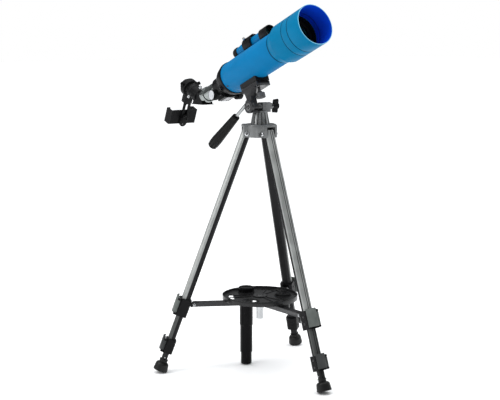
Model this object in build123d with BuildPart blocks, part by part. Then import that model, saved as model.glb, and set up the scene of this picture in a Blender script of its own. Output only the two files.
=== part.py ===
from build123d import *
import math
import os

os.makedirs("parts", exist_ok=True)

# Small refractor telescope on a three-section tripod, in millimetres, +Z up.
# The origin is the floor point under the pan axis; the tube points along +X.

# --- driving dimensions -------------------------------------------------------

FIT = 0.4  # gap on each side between pieces that slide or turn

# Optical tube. Stations run forward from the rear rim of the tube.
ALTITUDE = 22.3
TUBE_R = 38.0
TUBE_WALL = 1.4
CELL_R = 46.0
TUBE_START_S = -8.0
SEAM_S = 184.0
CELL_FRONT_S = 247.0
LIP_S = 311.0
GROOVE_S = 268.0
LENS_R = 36.0
SHIELD_WALL = 1.6
DRAW_R = 17.0
BARREL_R = 15.85
DRAW_END_S = -135.0
DRAW_INNER_S = -24.0
PINION_S = -54.0
PINION_PITCH_R = 6.0
PINION_TEETH = 12
PINION_DROP = 25.6
KNOB_R = 13.0
KNOB_FACE_Y = 43.0
VERTEX_S = -151.0
RING_SCREW_TURNS = (25, 155)

# Head.
TILT_Z = 619.0
TUBE_RISE = 96.8
FOOT_S = 61.7
CONE_Z = 579.0
CONE_TOP_Z = 606.0
SPIGOT_R = 7.5
HANDLE_ROOT = 2.0
HANDLE_ROD_R = 4.0
STUD_R = 3.15  # quarter-inch stud
TURNING_GAP = 0.05  # radial, where a piece turns on another

# Legs. Positions along a leg run down from its hinge.
LEG_COUNT = 3
LEG_ANGLE = 20.1
HINGE_R = 33.0
HINGE_Z = 558.0
SHOULDER_Z = 550.0
UPPER_TUBE = (20.0, 22.0, 1.4, 4.5)  # depth, width, wall, corner
MIDDLE_TUBE = (16.4, 18.4, 1.2, 3.6)
LOWER_TUBE = (13.2, 15.2, 1.2, 2.9)
UPPER_CLAMP = (408.0, 450.0)
LOWER_CLAMP = (509.0, 543.0)
PIN_R = 3.0
BOLT_HALF = 18.5  # half the width that a hinge bolt clamps
BOLT_HEAD_R = 5.2

# Brace and tray.
BRACE_T = 414.5
BRACE_OUT = -22.0
BRACE_INNER_R = 24.0
TRAY_R = 88.0
TRAY_FLOOR_Z = 173.0
TRAY_HOLE_R = 16.5
TRAY_HOLE_PITCH = 54.0

ALT = math.radians(ALTITUDE)
LEAN = math.radians(LEG_ANGLE)
AIM = Vector(math.cos(ALT), 0, math.sin(ALT))
RISE = Vector(-math.sin(ALT), 0, math.cos(ALT))
ACROSS = Vector(0, 1, 0)
TILT_POINT = Vector(0, 0, TILT_Z)
REAR_RIM = TILT_POINT + RISE * TUBE_RISE - AIM * FOOT_S
VERTEX = REAR_RIM + AIM * VERTEX_S
EYE = (RISE - AIM) * math.sqrt(0.5)  # the prism bends the view up by 45 degrees
DOWN = (RISE + AIM) * -math.sqrt(0.5)


# --- planes -------------------------------------------------------------------


def cross_plane(s, w=0.0, y=0.0):
    """Across the tube at station s: local x is +Y, local y is the tube's own up."""
    return Plane(origin=REAR_RIM + AIM * s + RISE * w + ACROSS * y, x_dir=ACROSS, z_dir=AIM)


def side_plane(origin, x_dir):
    """Upright plane through origin, drawn on from the -Y side."""
    return Plane(origin=origin, x_dir=x_dir, z_dir=(0, -1, 0))


def tilt_plane(y=0.0):
    """Side plane of the tilting head: x along the tube, y towards the tube."""
    return side_plane(TILT_POINT + ACROSS * y, AIM)


def eye_plane(d, y=0.0, down=0.0):
    """Across the eyepiece axis at distance d: local x is +Y, local y is down the phone arm."""
    return Plane(origin=VERTEX + EYE * d + ACROSS * y + DOWN * down, x_dir=ACROSS, z_dir=EYE)


def radial(k, turn=0.0):
    angle = math.radians(360.0 / LEG_COUNT * k + turn)
    return Vector(math.cos(angle), math.sin(angle), 0)


def radial_plane(k, z, r=0.0, turn=0.0):
    """Level plane whose x points out along leg k."""
    out = radial(k, turn)
    return Plane(origin=out * r + Vector(0, 0, z), x_dir=out, z_dir=(0, 0, 1))


def leg_point(k, t, out=0.0):
    r = HINGE_R + t * math.sin(LEAN) + out * math.cos(LEAN)
    z = HINGE_Z - t * math.cos(LEAN) + out * math.sin(LEAN)
    return radial(k) * r + Vector(0, 0, z)


def leg_plane(k, t, out=0.0):
    """Across leg k at distance t: local x faces outward, local z runs down the leg."""
    outward = radial(k) * math.cos(LEAN) + Vector(0, 0, math.sin(LEAN))
    downward = radial(k) * math.sin(LEAN) - Vector(0, 0, math.cos(LEAN))
    return Plane(origin=leg_point(k, t, out), x_dir=outward, z_dir=downward)


def pin_plane(k, centre):
    """Plane whose normal is the tangent at leg k, for pins across a leg."""
    return Plane(origin=centre, x_dir=radial(k), z_dir=radial(k, 90))


# --- helpers ------------------------------------------------------------------


def turned(plane, profile):
    """A piece turned about the plane's x axis; the profile is (along, radius) points."""
    with BuildPart() as piece:
        with BuildSketch(plane):
            with BuildLine():
                Polyline(*profile, close=True)
            make_face()
        revolve(axis=Axis(plane.origin, plane.x_dir))
    return piece.part


def save(part, label):
    part.label = label
    export_step(part, f"parts/{label}.step")


# --- shoulder and pan collar ---------------------------------------------------


def make_shoulder():
    slot_width = UPPER_TUBE[1] + 2 * FIT
    with BuildPart() as shoulder:
        with BuildSketch(Plane.XY.offset(SHOULDER_Z)):
            Circle(37)
            for k in range(LEG_COUNT):
                with BuildSketch(radial_plane(k, 0), mode=Mode.PRIVATE) as ear:
                    with Locations((31.5, 0)):
                        Rectangle(25, 38)
                add(ear.sketch)
            Circle(43, mode=Mode.INTERSECT)
        extrude(amount=CONE_Z - SHOULDER_Z)
        top = shoulder.faces().sort_by(Axis.Z)[-1]
        fillet(top.edges(), 2)
        for k in range(LEG_COUNT):
            with BuildSketch(radial_plane(k, SHOULDER_Z)):
                with Locations((35, 0)):
                    Rectangle(34, slot_width)
            extrude(amount=24, mode=Mode.SUBTRACT)
            with BuildSketch(pin_plane(k, leg_point(k, 0))):
                Circle(PIN_R)
            extrude(amount=24, both=True, mode=Mode.SUBTRACT)
            for side in (-1, 1):
                with BuildSketch(pin_plane(k, leg_point(k, 0) + radial(k, 90) * (side * BOLT_HALF))):
                    Circle(BOLT_HEAD_R + 0.5)
                extrude(amount=10 * side, mode=Mode.SUBTRACT)
        with BuildSketch(Plane.XY.offset(CONE_Z)):
            Circle(SPIGOT_R + 0.3)
        extrude(amount=-18, mode=Mode.SUBTRACT)
    save(shoulder.part, "tripod_shoulder")


def make_leg_pivots():
    with BuildPart() as pivots:
        for k in range(LEG_COUNT):
            with BuildSketch(pin_plane(k, leg_point(k, 0))):
                Circle(PIN_R)
            extrude(amount=BOLT_HALF, both=True)
            for side in (-1, 1):
                head = leg_point(k, 0) + radial(k, 90) * (BOLT_HALF * side)
                with BuildSketch(pin_plane(k, head)):
                    Circle(BOLT_HEAD_R)
                extrude(amount=2.4 * side)
    save(pivots.part, "leg_pivot_bolts")


def make_collar():
    flutes = 14
    with BuildPart() as collar:
        for z, r in ((CONE_Z + 0.2, 22.0), (CONE_TOP_Z - 0.2, 17.0)):
            with BuildSketch(Plane.XY.offset(z)):
                Circle(r)
                with PolarLocations(r + 0.9, flutes):
                    Circle(2.0 * r / 22, mode=Mode.SUBTRACT)
        loft()
        with BuildSketch(Plane.XY.offset(CONE_Z)):
            Circle(SPIGOT_R + 0.3)
        extrude(amount=CONE_TOP_Z - CONE_Z, mode=Mode.SUBTRACT)
    save(collar.part, "pan_lock_collar")


# --- legs -----------------------------------------------------------------------


def tube_outline(size, grow=0.0):
    depth, width, _, corner = size
    outline = Rectangle(depth + 2 * grow, width + 2 * grow)
    chamfer(outline.vertices(), corner + 0.586 * grow)


def make_leg_tube(label, k, start, end, size, pivot=False):
    depth, width, wall, _ = size
    with BuildPart() as tube:
        with BuildSketch(leg_plane(k, start)):
            tube_outline(size)
        extrude(amount=end - start)
        with BuildSketch(leg_plane(k, start)):
            tube_outline(size, -wall)
        extrude(amount=end - start, mode=Mode.SUBTRACT)
        with BuildSketch(leg_plane(k, start, depth / 2)):
            with GridLocations(0, 5, 1, 2):
                Rectangle(1.2, 1.6)
        extrude(amount=end - start, mode=Mode.SUBTRACT)
        if pivot:
            with BuildSketch(pin_plane(k, leg_point(k, 0))):
                Circle(PIN_R + 0.3)
            extrude(amount=width, both=True, mode=Mode.SUBTRACT)
    save(tube.part, label)


def make_clamp(label, k, span, above, below, brace=False):
    start, end = span
    depth = above[0] + 8
    width = above[1] + 9
    pin = (depth / 2 + 1.5, -width / 2 + 1.5)
    with BuildPart() as clamp:
        with BuildSketch(leg_plane(k, start)) as block:
            Rectangle(depth, width)
            fillet(block.vertices(), 6)
        extrude(amount=end - start)
        for t, length in ((start + 1, 5), (end - 6, 5)):
            with BuildSketch(leg_plane(k, t)):
                with Locations(pin):
                    Circle(3.6)
                with Locations((pin[0] - 4, pin[1] + 3)):
                    Rectangle(8, 6)
            extrude(amount=length)
        with BuildSketch(leg_plane(k, start + 6)):
            with Locations(pin):
                Circle(3.4 + FIT)
            with Locations((pin[0] + 1.2, pin[1] + 3)):
                Rectangle(4.4, 7)
        extrude(amount=end - start - 12, mode=Mode.SUBTRACT)
        if brace:
            lug = leg_point(k, BRACE_T, BRACE_OUT)
            reach = -BRACE_OUT - depth / 2
            along = Vector(reach / 2 * math.cos(LEAN), reach / 2 * math.sin(LEAN))
            with BuildSketch(pin_plane(k, lug)):
                Circle(4.5)
                with Locations(Location(along, LEG_ANGLE)):
                    Rectangle(reach + 3, 8)
            extrude(amount=6.6, both=True)
            with BuildSketch(pin_plane(k, lug)):
                Circle(2.6)
            extrude(amount=9.8, both=True)
        with BuildSketch(leg_plane(k, start)):
            tube_outline(above)
        extrude(amount=0.6 * (end - start), mode=Mode.SUBTRACT)
        with BuildSketch(leg_plane(k, start)):
            tube_outline(below, 0.3)
        extrude(amount=end - start, mode=Mode.SUBTRACT)
        with BuildSketch(leg_plane(k, start + 5)):
            with Locations(pin):
                Circle(1.5)
        extrude(amount=end - start - 10)
    save(clamp.part, label)
    return pin


def make_lever(label, k, span, pin):
    """Flip lever: a bowed plate over the clamp's outer face, on a knuckle along the leg."""
    start, end = span
    bow = pin[0] + 6.5
    top = -pin[1] + 3.5
    with BuildPart() as lever:
        with BuildSketch(leg_plane(k, start - 3)):
            with BuildLine():
                ThreePointArc((pin[0] + 3.5, pin[1] + 3.8), (bow, 0), (pin[0] + 1.5, top))
                ThreePointArc((pin[0] - 0.6, top - 1.5), (bow - 2.6, 0), (pin[0] + 0.8, pin[1] + 4.6))
                Line((pin[0] + 1.5, top), (pin[0] - 0.6, top - 1.5))
                Line((pin[0] + 0.8, pin[1] + 4.6), (pin[0] + 3.5, pin[1] + 3.8))
            make_face()
        extrude(amount=end - start - 1)
        with BuildSketch(leg_plane(k, start + 6.4)):
            with Locations(pin):
                Circle(3.4)
            with Locations((pin[0] + 1.2, pin[1] + 3.0)):
                Rectangle(3.6, 6)
        extrude(amount=end - start - 12.8)
        with BuildSketch(leg_plane(k, start)):
            with Locations(pin):
                Circle(1.8)
        extrude(amount=end - start, mode=Mode.SUBTRACT)
    save(lever.part, label)


def make_foot(label, k):
    """Rubber bell foot, square to the leg; its inner edge just touches the floor."""
    corner, round_r = 15.8, 1.2
    end = (HINGE_Z - corner * math.sin(LEAN) - round_r) / math.cos(LEAN) + round_r
    plane = Plane(origin=leg_point(k, 0), x_dir=leg_plane(k, 0).z_dir, z_dir=radial(k, 90))
    with BuildPart() as foot:
        with BuildSketch(plane):
            with BuildLine():
                Polyline((end - 28, 0), (end - 28, 10), (end - 25.5, 10), (end - 25.5, 8.4))
                Line((end - 25.5, 8.4), (end - 21, 8.4))
                ThreePointArc((end - 21, 8.4), (end - 18.8, 13.4), (end - 13.5, 15.6))
                Line((end - 13.5, 15.6), (end - round_r, corner + round_r))
                RadiusArc((end - round_r, corner + round_r), (end, corner), -round_r)
                Polyline((end, corner), (end, 10), (end - 1.5, 8), (end - 1.5, 0))
                Line((end - 1.5, 0), (end - 28, 0))
            make_face()
        revolve(axis=Axis(plane.origin, plane.x_dir))
        with BuildSketch(leg_plane(k, end - 40)):
            tube_outline(LOWER_TUBE)
        extrude(amount=25, mode=Mode.SUBTRACT)
    save(foot.part, label)
    return end


def make_legs():
    for k in range(LEG_COUNT):
        leg = f"leg_{k + 1}"
        make_leg_tube(f"{leg}_upper_tube", k, -7.0, UPPER_CLAMP[0] + 25.2, UPPER_TUBE, pivot=True)
        make_leg_tube(f"{leg}_middle_tube", k, 142.0, LOWER_CLAMP[0] + 20.4, MIDDLE_TUBE)
        pin = make_clamp(f"{leg}_upper_clamp", k, UPPER_CLAMP, UPPER_TUBE, MIDDLE_TUBE, brace=True)
        make_lever(f"{leg}_upper_lever", k, UPPER_CLAMP, pin)
        pin = make_clamp(f"{leg}_lower_clamp", k, LOWER_CLAMP, MIDDLE_TUBE, LOWER_TUBE)
        make_lever(f"{leg}_lower_lever", k, LOWER_CLAMP, pin)
        end = make_foot(f"{leg}_foot", k)
        make_leg_tube(f"{leg}_lower_tube", k, 205.0, end - 15.0, LOWER_TUBE)


# --- brace and tray -------------------------------------------------------------


def make_brace_arms():
    """Inverted channels from each upper clamp in to the hub under the tray."""
    pivot_r = leg_point(0, BRACE_T, BRACE_OUT).X
    pivot_z = leg_point(0, BRACE_T, BRACE_OUT).Z
    height = 10.0
    half = 9.0
    wall = 1.6
    for k in range(LEG_COUNT):
        with BuildPart() as arm:
            length = pivot_r - 12 - BRACE_INNER_R
            with BuildSketch(radial_plane(k, pivot_z - height / 2, BRACE_INNER_R + length / 2)):
                Rectangle(length, 2 * half)
            extrude(amount=height)
            for side in (-1, 1):
                cheek = radial(k) * pivot_r + radial(k, 90) * (side * (half - wall)) + Vector(0, 0, pivot_z)
                with BuildSketch(pin_plane(k, cheek)):
                    Circle(height / 2)
                    with Locations((-7, 0)):
                        Rectangle(14, height)
                extrude(amount=side * wall)
            with BuildSketch(radial_plane(k, pivot_z - height / 2, BRACE_INNER_R + length / 2)):
                Rectangle(length + 1, 2 * (half - wall))
            extrude(amount=height - wall, mode=Mode.SUBTRACT)
            with BuildSketch(pin_plane(k, radial(k) * pivot_r + Vector(0, 0, pivot_z))):
                Circle(2.9)
            extrude(amount=half + 1, both=True, mode=Mode.SUBTRACT)
        save(arm.part, f"brace_arm_{k + 1}")


def make_tray_hub():
    hub = turned(
        side_plane((0, 0, 0), (0, 0, 1)),
        [
            (123, 0),
            (123, 8.5),
            (166, 8.5),
            (170, 14),
            (TRAY_FLOOR_Z, 14),
            (TRAY_FLOOR_Z, 4),
            (TRAY_FLOOR_Z + 3, 4),
            (TRAY_FLOOR_Z + 3, 7),
            (TRAY_FLOOR_Z + 4.6, 6),
            (TRAY_FLOOR_Z + 4.6, 0),
        ],
    )
    save(hub, "tray_hub")


def make_tray():
    rim_bottom = TRAY_FLOOR_Z - 3
    with BuildPart() as tray:
        with BuildSketch(Plane.XY.offset(rim_bottom)):
            Circle(TRAY_R)
            Circle(TRAY_R - 2, mode=Mode.SUBTRACT)
        extrude(amount=11)
        with BuildSketch(Plane.XY.offset(TRAY_FLOOR_Z)):
            Circle(TRAY_R - 1)
            Circle(4, mode=Mode.SUBTRACT)
            with PolarLocations(TRAY_HOLE_PITCH, LEG_COUNT, start_angle=60):
                Circle(TRAY_HOLE_R, mode=Mode.SUBTRACT)
        extrude(amount=3)
        with BuildSketch(Plane.XY.offset(TRAY_FLOOR_Z)):
            for k in range(LEG_COUNT):
                centre = 120 * k
                sweep = 17
                arc = CenterArc((0, 0), 68, centre - sweep, 2 * sweep, mode=Mode.PRIVATE)
                SlotArc(arc, 10)
        extrude(amount=3, mode=Mode.SUBTRACT)
    save(tray.part, "accessory_tray")


def make_tray_accessories():
    floor = TRAY_FLOOR_Z + 3
    lens = turned(
        Plane(origin=radial(0, 180) * TRAY_HOLE_PITCH, x_dir=(0, 0, 1), z_dir=(0, -1, 0)),
        [
            (3, 0),
            (3, 13.0),
            (30, 13.0),
            (31, 14.7),
            (96, 14.7),
            (97, BARREL_R),
            (floor + 0.2, BARREL_R),
            (floor + 0.2, 18.5),
            (floor + 11, 18.5),
            (floor + 13, 16.5),
            (floor + 13, 11),
            (floor + 11, 9.5),
            (floor + 11, 0),
        ],
    )
    save(lens, "erecting_lens")
    eyepiece = turned(
        Plane(origin=radial(0, 60) * TRAY_HOLE_PITCH, x_dir=(0, 0, 1), z_dir=(0, -1, 0)),
        [
            (floor - 36, 0),
            (floor - 36, BARREL_R),
            (floor + 0.2, BARREL_R),
            (floor + 0.2, 18),
            (floor + 4, 18),
            (floor + 6, 16),
            (floor + 6, 10),
            (floor + 3.5, 7),
            (floor + 3.5, 0),
        ],
    )
    save(eyepiece, "spare_eyepiece")


# --- pan and tilt head ------------------------------------------------------------


def make_pan_base():
    """Fork that turns on the shoulder: a round cheek, a floor and the split lock block."""
    with BuildPart() as base:
        with BuildSketch(Plane.XZ.offset(27)):
            with Locations((0, TILT_Z)):
                Circle(14.5)
        extrude(amount=7)
        with BuildSketch(Plane.XY.offset(CONE_TOP_Z + 0.2)):
            Circle(16)
            with Locations((0, -15)):
                Rectangle(19, 30)
        extrude(amount=3.6)
        with BuildSketch(Plane.XY.offset(CONE_TOP_Z + 0.2)):
            with Locations((0, 12.25)):
                Rectangle(18, 22.5)
        extrude(amount=TILT_Z + 9 - CONE_TOP_Z - 0.2)
        with BuildSketch(Plane.XZ.offset(-27)):
            with Locations((0, TILT_Z)):
                Circle(9.4)
        extrude(amount=4)
        with BuildSketch(Plane.XY.offset(CONE_TOP_Z + 0.2)):
            Circle(SPIGOT_R)
        extrude(amount=-42)
        with BuildSketch(Plane.XZ):
            with Locations((0, TILT_Z)):
                Circle(4.3)
        extrude(amount=40, both=True, mode=Mode.SUBTRACT)
        with BuildSketch(Plane.XY.offset(TILT_Z + 4)):
            with Locations((0, 12.25)):
                Rectangle(1.2, 22.5)
        extrude(amount=6, mode=Mode.SUBTRACT)
    save(base.part, "pan_base")


def make_tilt_knob():
    """Wing knob on the long tilt bolt."""
    with BuildPart() as knob:
        with BuildSketch(Plane.XZ.offset(-50)):
            with Locations((0, TILT_Z)):
                Circle(7.5)
        extrude(amount=16, taper=8)
        with BuildSketch(Plane.XZ.offset(-49)):
            with Locations((0, TILT_Z)):
                SlotOverall(33, 8.5, rotation=82)
        extrude(amount=12, taper=6)
        with BuildSketch(Plane.XZ.offset(-36)):
            with Locations((0, TILT_Z)):
                Circle(4.0)
        extrude(amount=71)
        with BuildSketch(Plane.XZ.offset(34.2)):
            with Locations((0, TILT_Z)):
                Circle(5.2)
        extrude(amount=2)
    save(knob.part, "tilt_lock_knob")


def make_tilt_bracket():
    """Barrel on the tilt bolt, side arm and the platform that carries the tube."""
    with BuildPart() as bracket:
        with BuildSketch(tilt_plane(-0.2)):
            Circle(8.6)
        extrude(amount=26.2)
        with BuildSketch(tilt_plane(-11.5)):
            with BuildLine():
                Polyline(
                    (-7.5, 3), (8.0, 3), (8.0, 24), (13, 32), (20, 41), (-15, 41), (-12, 31),
                    (-10, 22), (-12, 13), (-7.5, 3),
                )
            make_face()
        extrude(amount=14.5)
        with BuildSketch(tilt_plane(19)):
            with Locations((0.5, 43.3)):
                Rectangle(61, 5.4)
        extrude(amount=38)
        for side in (-1, 1):
            with BuildSketch(tilt_plane(side * 17.25 + 1.75)):
                with Locations((0.5, 48)):
                    Rectangle(61, 6)
            extrude(amount=3.5)
        with BuildSketch(tilt_plane(0)):
            Circle(4.3)
        extrude(amount=40, both=True, mode=Mode.SUBTRACT)
        with BuildSketch(screw_plane(30)):
            Circle(3.6)
        extrude(amount=20, mode=Mode.SUBTRACT)
        with BuildSketch(handle_plane(HANDLE_ROOT)):
            Circle(HANDLE_ROD_R)
        extrude(amount=30, mode=Mode.SUBTRACT)
    save(bracket.part, "tilt_bracket")


def screw_plane(w):
    """Across the mounting screw, w above the tilt axis in the head's own frame."""
    return Plane(origin=TILT_POINT + AIM * 11 + RISE * w, x_dir=ACROSS, z_dir=RISE)


def make_mount_screw():
    """Knurled wheel and stud that hold the tube's saddle on the platform."""
    with BuildPart() as screw:
        with BuildSketch(screw_plane(17)):
            Circle(10.8)
            with PolarLocations(11.3, 24):
                Circle(0.9, mode=Mode.SUBTRACT)
        extrude(amount=11)
        with BuildSketch(screw_plane(28)):
            Circle(5.5)
        extrude(amount=4)
        with BuildSketch(screw_plane(32)):
            Circle(STUD_R)
        extrude(amount=20.5)
    save(screw.part, "mount_screw")


def handle_plane(d):
    """Across the pan handle at distance d from its root, normal towards the grip end."""
    slope = math.radians(37.4)
    root = TILT_POINT + RISE * 21 + ACROSS * -18.5
    away = Vector(-math.cos(slope), 0, -math.sin(slope))
    return Plane(origin=root + away * d, x_dir=ACROSS, z_dir=away)


def make_handle():
    with BuildPart() as rod:
        with BuildSketch(handle_plane(HANDLE_ROOT)):
            Circle(HANDLE_ROD_R)
        extrude(amount=88)
    save(rod.part, "handle_rod")
    ribs = 10
    with BuildPart() as grip:
        for d, r in ((76, 9.0), (172, 12.6), (192, 12.2)):
            with BuildSketch(handle_plane(d)):
                Circle(r)
                with PolarLocations(r + 0.5, ribs):
                    Circle(1.7 * r / 12, mode=Mode.SUBTRACT)
        loft(ruled=True)
        with BuildSketch(handle_plane(192)):
            Circle(11.6)
        extrude(amount=4, taper=35)
        with BuildSketch(handle_plane(76)):
            Circle(HANDLE_ROD_R + TURNING_GAP)
        extrude(amount=14.5, mode=Mode.SUBTRACT)
    save(grip.part, "handle_grip")


# --- optical tube -----------------------------------------------------------------


def make_saddle():
    """Moulded foot between the platform and the tube."""
    with BuildPart() as saddle:
        with BuildSketch(tilt_plane(14.8)):
            with Locations((0.5, 50.5)):
                Rectangle(58, 9)
        extrude(amount=29.6)
        with BuildSketch(tilt_plane(19)):
            with Locations((0.5, 58.25)):
                Rectangle(62, 12.5)
        extrude(amount=38)
        with BuildSketch(cross_plane(0)):
            Circle(TUBE_R)
        extrude(amount=140, mode=Mode.SUBTRACT)
        with BuildSketch(screw_plane(40)):
            Circle(STUD_R + TURNING_GAP)
        extrude(amount=13, mode=Mode.SUBTRACT)
    save(saddle.part, "tube_saddle")


def optics_plane():
    return side_plane(REAR_RIM, AIM)


def make_tube():
    inner = TUBE_R - TUBE_WALL
    tube = turned(
        optics_plane(),
        [(TUBE_START_S, inner), (TUBE_START_S, TUBE_R), (SEAM_S + 12, TUBE_R), (SEAM_S + 12, inner)],
    )
    save(tube, "main_tube")
    cell = turned(
        optics_plane(),
        [
            (SEAM_S, TUBE_R),
            (SEAM_S, TUBE_R + 1),
            (SEAM_S + 4, TUBE_R + 1.4),
            (SEAM_S + 23, CELL_R),
            (CELL_FRONT_S, CELL_R),
            (CELL_FRONT_S, CELL_R - SHIELD_WALL - 0.2),
            (CELL_FRONT_S + 9, CELL_R - SHIELD_WALL - 0.2),
            (CELL_FRONT_S + 9, LENS_R + 5),
            (CELL_FRONT_S - 7, LENS_R + 5),
            (CELL_FRONT_S - 7, LENS_R),
            (CELL_FRONT_S - 16, LENS_R),
            (CELL_FRONT_S - 16, LENS_R - 2),
            (CELL_FRONT_S - 20, LENS_R - 2),
            (SEAM_S + 12, TUBE_R - 0.5),
            (SEAM_S + 12, TUBE_R),
        ],
    )
    save(cell, "objective_cell")
    shield_inner = CELL_R - SHIELD_WALL
    shield = turned(
        optics_plane(),
        [
            (CELL_FRONT_S, shield_inner),
            (CELL_FRONT_S, CELL_R - 0.6),
            (CELL_FRONT_S + 1, CELL_R),
            (GROOVE_S - 0.7, CELL_R),
            (GROOVE_S - 0.7, CELL_R - 0.7),
            (GROOVE_S + 0.7, CELL_R - 0.7),
            (GROOVE_S + 0.7, CELL_R),
            (LIP_S - 0.6, CELL_R),
            (LIP_S, CELL_R - 0.6),
            (LIP_S, shield_inner),
        ],
    )
    save(shield, "dew_shield")


def make_objective():
    back = CELL_FRONT_S - 15.6
    edge = LENS_R - 0.3
    front_sag = 2.4
    ball_r = (edge**2 + front_sag**2) / (2 * front_sag)
    mid_sag = ball_r - math.sqrt(ball_r**2 - (edge / 2) ** 2)
    front = back + 8.2 + front_sag
    with BuildPart() as lens:
        with BuildSketch(optics_plane()):
            with BuildLine():
                Polyline((front, 0), (back, 0), (back, edge), (front - front_sag, edge))
                ThreePointArc((front - front_sag, edge), (front - mid_sag, edge / 2), (front, 0))
            make_face()
        revolve(axis=Axis(REAR_RIM, AIM))
    save(lens.part, "objective_lens")
    retainer = turned(
        optics_plane(),
        [
            (CELL_FRONT_S - 7, LENS_R - 1.5),
            (CELL_FRONT_S - 7, LENS_R + 5),
            (CELL_FRONT_S - 1, LENS_R + 5),
            (CELL_FRONT_S - 1, LENS_R + 2.5),
            (CELL_FRONT_S - 3, LENS_R - 1.5),
        ],
    )
    save(retainer, "lens_retainer")


def make_focuser():
    """Rear cover of the tube, tapering to the drawtube guide, with the pinion housing below."""
    bore = DRAW_R + FIT
    inner = TUBE_R - TUBE_WALL
    with BuildPart() as body:
        with BuildSketch(optics_plane()):
            with BuildLine():
                Polyline((8, inner - 3), (8, inner), (TUBE_START_S, inner), (TUBE_START_S, TUBE_R + 1.6))
                Polyline((TUBE_START_S, TUBE_R + 1.6), (-14, TUBE_R + 1.6), (-16, TUBE_R))
                ThreePointArc((-16, TUBE_R), (-34, 33), (-48, 23))
                Polyline((-48, 23), (-72, 21.5), (-72, bore), (-26, bore), (-14, inner - 4.6), (8, inner - 3))
            make_face()
        revolve(axis=Axis(REAR_RIM, AIM))
        with BuildSketch(cross_plane(-70, -27)):
            Rectangle(30, 19)
        extrude(amount=30)
        with BuildSketch(cross_plane(-72, -15)):
            Rectangle(7, 16)
        extrude(amount=60, mode=Mode.SUBTRACT)
        with BuildSketch(cross_plane(-72)):
            Circle(bore)
        extrude(amount=52, mode=Mode.SUBTRACT)
        with BuildSketch(cross_plane(PINION_S - 8.5, -PINION_DROP)):
            Rectangle(13, 17)
        extrude(amount=17, mode=Mode.SUBTRACT)
        with BuildSketch(shaft_plane(0)):
            Circle(2.9)
        extrude(amount=20, both=True, mode=Mode.SUBTRACT)
    save(body.part, "focuser_body")


def shaft_plane(y):
    """Side plane centred on the focus shaft: x along the tube, y towards the tube axis."""
    return side_plane(REAR_RIM + AIM * PINION_S - RISE * PINION_DROP + ACROSS * y, AIM)


def tooth_pitch():
    return 2 * math.pi * PINION_PITCH_R / PINION_TEETH


def make_drawtube():
    """Chromed drawtube with the rack along its underside and the eyepiece socket collar."""
    bore = BARREL_R + 0.1
    rack_root = PINION_PITCH_R + 1.1 - PINION_DROP
    first, last = -20, 8
    with BuildPart() as drawtube:
        with BuildSketch(optics_plane()):
            with BuildLine():
                Polyline(
                    (DRAW_END_S, bore), (DRAW_END_S, 19.5), (DRAW_END_S + 14, 19.5),
                    (DRAW_END_S + 14, DRAW_R), (DRAW_INNER_S, DRAW_R), (DRAW_INNER_S, bore - 1),
                    (DRAW_END_S + 34, bore - 1), (DRAW_END_S + 34, bore), close=True,
                )
            make_face()
        revolve(axis=Axis(REAR_RIM, AIM))
        with BuildSketch(cross_plane(DRAW_END_S + 16, (rack_root - 16.4) / 2)):
            Rectangle(6, -16.4 - rack_root)
        extrude(amount=DRAW_INNER_S - DRAW_END_S - 16)
        with BuildSketch(shaft_plane(2.5)):
            for i in range(first, last + 1):
                x = i * tooth_pitch()
                with BuildLine():
                    Polyline(
                        (x - 0.95, PINION_PITCH_R + 1.2), (x + 0.95, PINION_PITCH_R + 1.2),
                        (x + 0.35, PINION_PITCH_R - 0.8), (x - 0.35, PINION_PITCH_R - 0.8), close=True,
                    )
                make_face()
        extrude(amount=5)
    save(drawtube.part, "drawtube")


def make_focus_shaft():
    """Pinion shaft: the teeth stand half a pitch from the rack's, so they mesh."""
    with BuildPart() as shaft:
        with BuildSketch(shaft_plane(30)):
            Circle(2.5)
        extrude(amount=60)
        with BuildSketch(shaft_plane(5)):
            Circle(PINION_PITCH_R - 1.2)
            for i in range(PINION_TEETH):
                turn = 90 + 360 / PINION_TEETH * (i + 0.5)
                with Locations(Location((0, 0, 0), turn)):
                    with BuildLine(mode=Mode.PRIVATE) as tooth:
                        Polyline(
                            (PINION_PITCH_R - 1.6, -0.9), (PINION_PITCH_R + 0.8, -0.35),
                            (PINION_PITCH_R + 0.8, 0.35), (PINION_PITCH_R - 1.6, 0.9), close=True,
                        )
                    add(make_face(tooth.line.edges(), mode=Mode.PRIVATE))
        extrude(amount=10)
    save(shaft.part, "focus_shaft")


def make_focus_knobs():
    with BuildPart() as knobs:
        for side in (-1, 1):
            with BuildSketch(shaft_plane(side * 29)):
                Circle(KNOB_R)
                with PolarLocations(KNOB_R + 0.4, 30):
                    Circle(0.8, mode=Mode.SUBTRACT)
                Circle(2.5, mode=Mode.SUBTRACT)
            extrude(amount=-side * (KNOB_FACE_Y - 30))
            with BuildSketch(shaft_plane(side * (KNOB_FACE_Y - 1))):
                Circle(KNOB_R - 1)
            extrude(amount=-side)
            with BuildSketch(shaft_plane(side * 22)):
                Circle(6)
                Circle(2.5, mode=Mode.SUBTRACT)
            extrude(amount=-side * 7)
    save(knobs.part, "focus_knobs")


def finder_plane():
    """Lengthwise plane of the finder: x forward along its own axis."""
    roll = math.radians(22)
    offset = ACROSS * (62 * math.sin(roll)) + RISE * (62 * math.cos(roll))
    return side_plane(REAR_RIM + offset, AIM)


def make_finder():
    finder = turned(
        finder_plane(),
        [
            (-8, 0),
            (-8, 10.5),
            (-6, 12.0),
            (8, 12.0),
            (9, 10.6),
            (24, 12.8),
            (103, 13.2),
            (107, 16.2),
            (133, 16.2),
            (135, 15.6),
            (135, 14.4),
            (119, 13.8),
            (119, 0),
        ],
    )
    save(finder, "finder_scope")


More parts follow.
